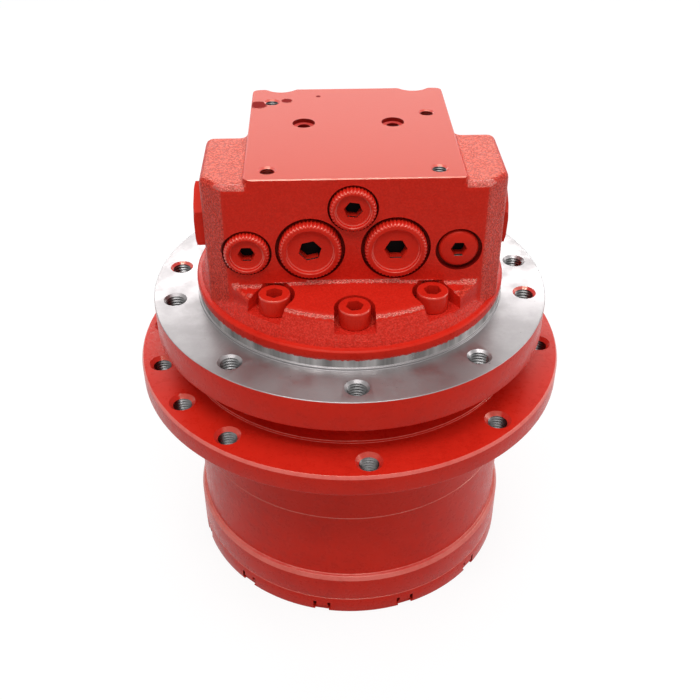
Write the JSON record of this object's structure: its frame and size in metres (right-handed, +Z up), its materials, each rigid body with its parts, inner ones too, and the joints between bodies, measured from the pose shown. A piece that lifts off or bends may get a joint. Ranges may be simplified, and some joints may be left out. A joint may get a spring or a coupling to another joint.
{
  "type": "track final drive",
  "caption": "Hydraulic track final drive: red hub with sprocket flange, steel frame flange and valve block on top, planetary gears and piston motor inside.",
  "frame": {"origin": "centre of the bounding box's base, which is the flat outer face of the end cover", "axes": "+Z up along the output axis, from the cover to the valve block; the front with the plugs faces -Y"},
  "size_m": [0.2486, 0.2486, 0.2655],
  "materials": {
    "red_paint": "glossy red enamel, brushed over castings",
    "machined_steel": "turned and ground steel",
    "cast_iron": "machined iron",
    "bronze": "bearing bronze",
    "seal_rubber": "black seal rubber"
  },
  "bodies": {
    "housing": {"spindle": "machined_steel", "valve_block": "red_paint", "relief_plug_left": "red_paint", "relief_plug_right": "red_paint", "shuttle_plug": "red_paint", "speed_valve_plug": "red_paint", "gauge_plug": "red_paint", "spool_cap_left": "red_paint", "spool_cap_right": "red_paint", "valve_plate": "bronze", "separator_plate": "machined_steel", "shaft_bearing_outer": "machined_steel", "shaft_seal": "seal_rubber", "main_bearing_inner_lower": "machined_steel", "main_bearing_inner_upper": "machined_steel", "spindle_nut": "machined_steel", "seal_ring_upper": "machined_steel", "cap_screw_1": "red_paint", "cap_screw_2": "red_paint", "cap_screw_3": "red_paint", "cap_screw_4": "red_paint", "cap_screw_5": "red_paint", "cap_screw_6": "red_paint", "cap_screw_7": "red_paint", "cap_screw_8": "red_paint"},
    "hub_body": {"hub": "red_paint", "end_cover": "red_paint", "fill_plug": "machined_steel", "drain_plug": "machined_steel", "main_bearing_outer_lower": "machined_steel", "main_bearing_outer_upper": "machined_steel", "seal_ring_lower": "machined_steel"},
    "cage_lower": {"main_bearing_cage_lower": "bronze"},
    "cage_upper": {"main_bearing_cage_upper": "bronze"},
    "carrier_body": {"carrier_1": "machined_steel", "sun_gear_2": "machined_steel"},
    "shaft_body": {"drive_shaft": "machined_steel", "sun_gear_1": "machined_steel", "cylinder_block": "cast_iron", "piston_set": "bronze", "retainer_guide": "machined_steel", "friction_disc": "bronze", "shaft_bearing_inner": "machined_steel"},
    "planet_1_a_body": {"planet_1_a": "machined_steel"},
    "planet_1_b_body": {"planet_1_b": "machined_steel"},
    "planet_1_c_body": {"planet_1_c": "machined_steel"},
    "planet_2_a_body": {"planet_2_a": "machined_steel"},
    "planet_2_b_body": {"planet_2_b": "machined_steel"},
    "planet_2_c_body": {"planet_2_c": "machined_steel"},
    "swash_body": {"swash_plate": "machined_steel"},
    "speed_piston_body": {"speed_piston": "machined_steel"},
    "brake_body": {"brake_piston": "cast_iron", "brake_spring": "machined_steel"},
    "spool_body": {"counterbalance_spool": "machined_steel", "spool_spring_left": "machined_steel", "spool_spring_right": "machined_steel"}
  },
  "joints": [
    {"name": "hub_spin", "type": "hinge", "parent": "housing", "child": "hub_body", "pos_m": [0, 0, 0], "axis": [0, 0, 1], "continuous": true},
    {"name": "cage_lower_spin", "type": "hinge", "parent": "housing", "child": "cage_lower", "pos_m": [0, 0, 0], "axis": [0, 0, 1], "continuous": true},
    {"name": "cage_upper_spin", "type": "hinge", "parent": "housing", "child": "cage_upper", "pos_m": [0, 0, 0], "axis": [0, 0, 1], "continuous": true},
    {"name": "carrier_spin", "type": "hinge", "parent": "housing", "child": "carrier_body", "pos_m": [0, 0, 0], "axis": [0, 0, 1], "continuous": true},
    {"name": "shaft_spin", "type": "hinge", "parent": "housing", "child": "shaft_body", "pos_m": [0, 0, 0], "axis": [0, 0, 1], "continuous": true},
    {"name": "planet_1_a_spin", "type": "hinge", "parent": "carrier_body", "child": "planet_1_a_body", "pos_m": [0.04875, 0, 0.029], "axis": [0, 0, 1], "continuous": true},
    {"name": "planet_1_b_spin", "type": "hinge", "parent": "carrier_body", "child": "planet_1_b_body", "pos_m": [-0.02438, 0.04222, 0.029], "axis": [0, 0, 1], "continuous": true},
    {"name": "planet_1_c_spin", "type": "hinge", "parent": "carrier_body", "child": "planet_1_c_body", "pos_m": [-0.02438, -0.04222, 0.029], "axis": [0, 0, 1], "continuous": true},
    {"name": "planet_2_a_spin", "type": "hinge", "parent": "housing", "child": "planet_2_a_body", "pos_m": [0, 0.0525, 0.062], "axis": [0, 0, 1], "continuous": true},
    {"name": "planet_2_b_spin", "type": "hinge", "parent": "housing", "child": "planet_2_b_body", "pos_m": [-0.04547, -0.02625, 0.062], "axis": [0, 0, 1], "continuous": true},
    {"name": "planet_2_c_spin", "type": "hinge", "parent": "housing", "child": "planet_2_c_body", "pos_m": [0.04547, -0.02625, 0.062], "axis": [0, 0, 1], "continuous": true},
    {"name": "swash_tilt", "type": "hinge", "parent": "housing", "child": "swash_body", "pos_m": [0, 0, 0.122], "axis": [1, 0, 0], "range_deg": [0, 8]},
    {"name": "speed_piston_slide", "type": "slide", "parent": "housing", "child": "speed_piston_body", "axis": [0, 0, 1], "range_m": [0, 0.0048]},
    {"name": "brake_release", "type": "slide", "parent": "housing", "child": "brake_body", "axis": [0, 0, 1], "range_m": [0, 0.0012], "stiffness_N_per_m": 60000, "deforming": ["brake_spring"]},
    {"name": "spool_shift", "type": "slide", "parent": "housing", "child": "spool_body", "axis": [1, 0, 0], "range_m": [-0.004, 0.004], "stiffness_N_per_m": 4000}
  ],
  "couplings": [
    {"joint": "carrier_spin", "follows": "hub_spin", "ratio": -3.6667},
    {"joint": "shaft_spin", "follows": "hub_spin", "ratio": -29.333},
    {"joint": "planet_1_a_spin", "follows": "hub_spin", "ratio": 11.407},
    {"joint": "planet_1_b_spin", "follows": "hub_spin", "ratio": 11.407},
    {"joint": "planet_1_c_spin", "follows": "hub_spin", "ratio": 11.407},
    {"joint": "planet_2_a_spin", "follows": "hub_spin", "ratio": 2.75},
    {"joint": "planet_2_b_spin", "follows": "hub_spin", "ratio": 2.75},
    {"joint": "planet_2_c_spin", "follows": "hub_spin", "ratio": 2.75},
    {"joint": "cage_lower_spin", "follows": "hub_spin", "ratio": 0.5282},
    {"joint": "cage_upper_spin", "follows": "hub_spin", "ratio": 0.5282},
    {"joint": "speed_piston_slide", "follows": "swash_tilt", "m_per_rad": 0.034}
  ]
}
